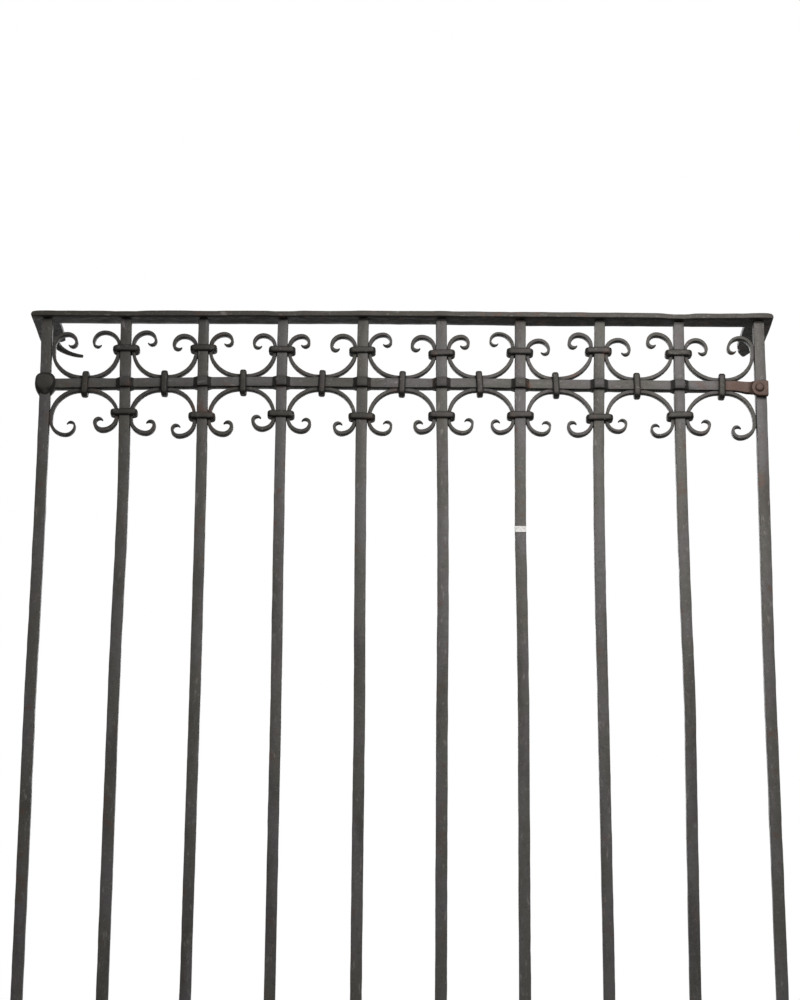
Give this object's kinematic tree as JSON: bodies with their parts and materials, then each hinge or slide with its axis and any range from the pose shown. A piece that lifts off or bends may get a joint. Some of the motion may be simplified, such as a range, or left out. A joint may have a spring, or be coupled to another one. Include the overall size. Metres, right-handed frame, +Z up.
{
  "type": "wrought iron window grille",
  "caption": "Hand-forged window grille of square bars between two flats, with collared C scrolls along pierced rails and split-tail wall arms.",
  "frame": {"origin": "on the underside of the sill flat, midway between the end bars, in the plane of the bars' centres", "axes": "+Z up along the bars, +X along the window to the viewer's right, +Y back into the wall"},
  "size_m": [1.4108, 0.237, 1.653],
  "materials": {
    "forged_iron": "hand-forged, dark waxed scale",
    "rusty_iron": "worn, brown rust"
  },
  "bodies": {
    "root": {"bar_01": "forged_iron", "bar_02": "forged_iron", "bar_03": "forged_iron", "bar_04": "forged_iron", "bar_05": "forged_iron", "bar_06": "forged_iron", "bar_07": "forged_iron", "bar_08": "forged_iron", "bar_09": "forged_iron", "bar_10": "forged_iron", "top_flat": "forged_iron", "top_left_arm": "forged_iron", "top_right_arm": "forged_iron", "top_rail": "forged_iron", "top_scrolls_1": "forged_iron", "top_scrolls_2": "forged_iron", "top_scrolls_3": "forged_iron", "top_scrolls_4": "forged_iron", "top_scrolls_5": "forged_iron", "top_scrolls_6": "forged_iron", "top_scrolls_7": "forged_iron", "top_scrolls_8": "forged_iron", "top_scrolls_9": "forged_iron", "top_bar_collars": "forged_iron", "top_rail_collars": "forged_iron", "sill_flat": "forged_iron", "sill_left_arm": "forged_iron", "sill_right_arm": "forged_iron", "sill_rail": "forged_iron", "sill_scrolls_1": "forged_iron", "sill_scrolls_2": "forged_iron", "sill_scrolls_3": "forged_iron", "sill_scrolls_4": "forged_iron", "sill_scrolls_5": "forged_iron", "sill_scrolls_6": "forged_iron", "sill_scrolls_7": "forged_iron", "sill_scrolls_8": "forged_iron", "sill_scrolls_9": "forged_iron", "sill_bar_collars": "forged_iron", "sill_rail_collars": "forged_iron", "repair_strap": "rusty_iron", "strap_rivet": "rusty_iron"}
  },
  "joints": []
}
